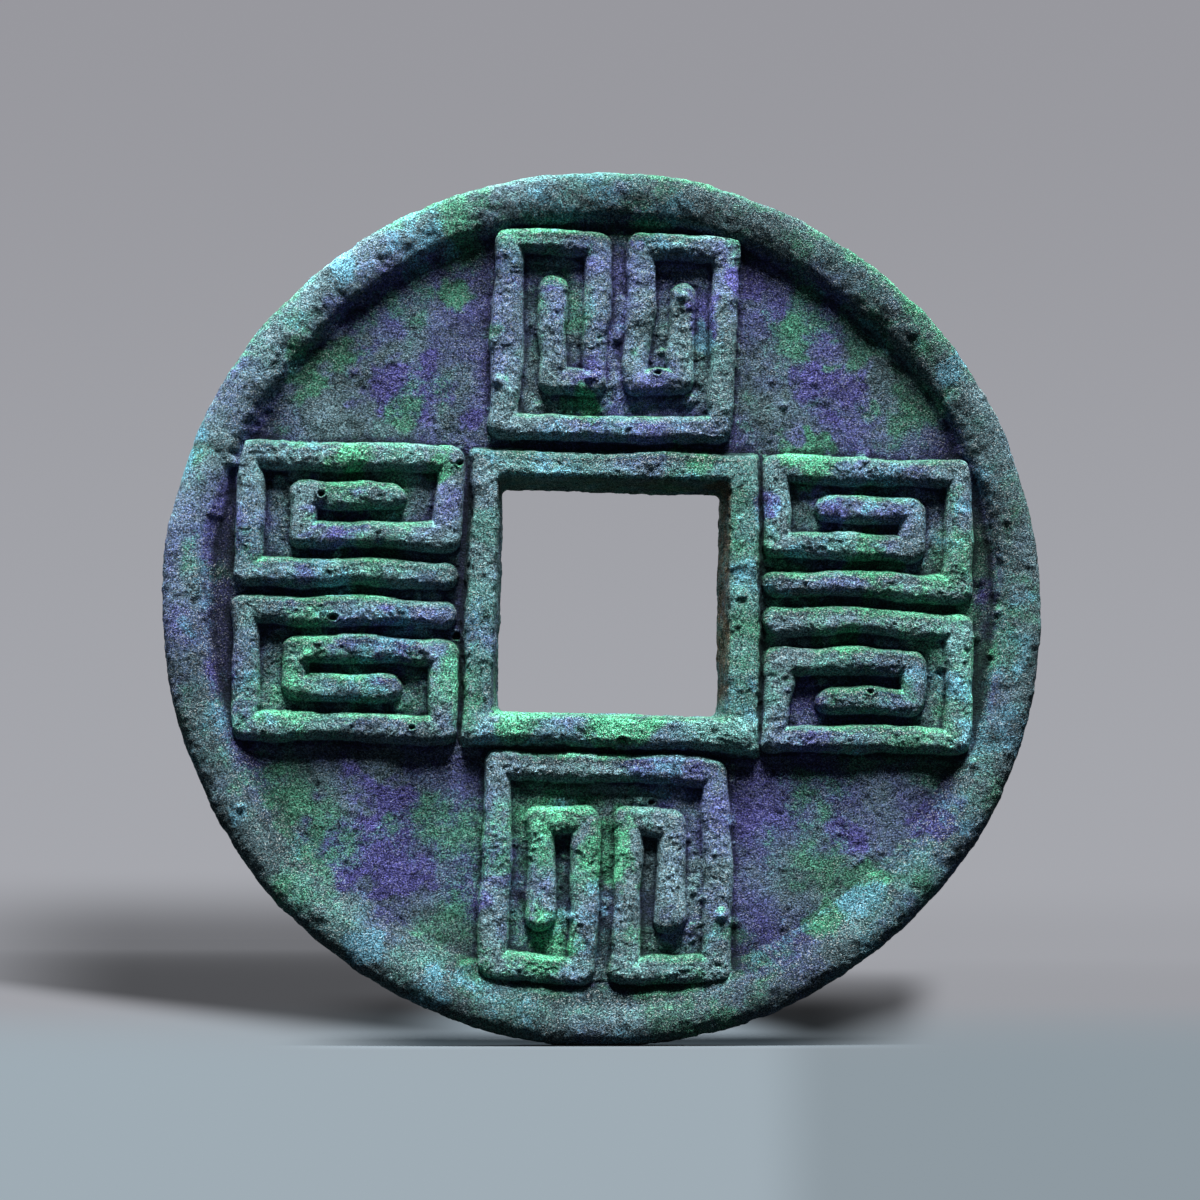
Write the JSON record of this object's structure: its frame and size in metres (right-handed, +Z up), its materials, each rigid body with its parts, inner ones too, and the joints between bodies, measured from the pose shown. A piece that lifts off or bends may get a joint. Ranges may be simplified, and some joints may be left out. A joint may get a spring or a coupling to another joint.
{
  "type": "cash coin",
  "caption": "Large round cast bronze coin with a square hole, raised rims and four panels of squared spiral ornament, in green and blue patina.",
  "frame": {"origin": "the middle of the short worn flat on the coin's edge that it stands on", "axes": "+Z up across the coin, +Y through its thickness from the front face to the back, +X to the right as seen from the front"},
  "size_m": [0.0414, 0.0032, 0.0414],
  "materials": {
    "field_patina": "dull sandy corrosion crust, violet blue with green patches",
    "rim_patina": "dull sandy corrosion crust, turquoise to slate green",
    "panel_patina": "dull sandy corrosion crust, green to slate with dark grooves"
  },
  "bodies": {
    "root": {"field": "field_patina", "outer_rim": "rim_patina", "hole_rim": "rim_patina", "top_panel": "panel_patina", "right_panel": "panel_patina", "bottom_panel": "panel_patina", "left_panel": "panel_patina"}
  },
  "joints": []
}
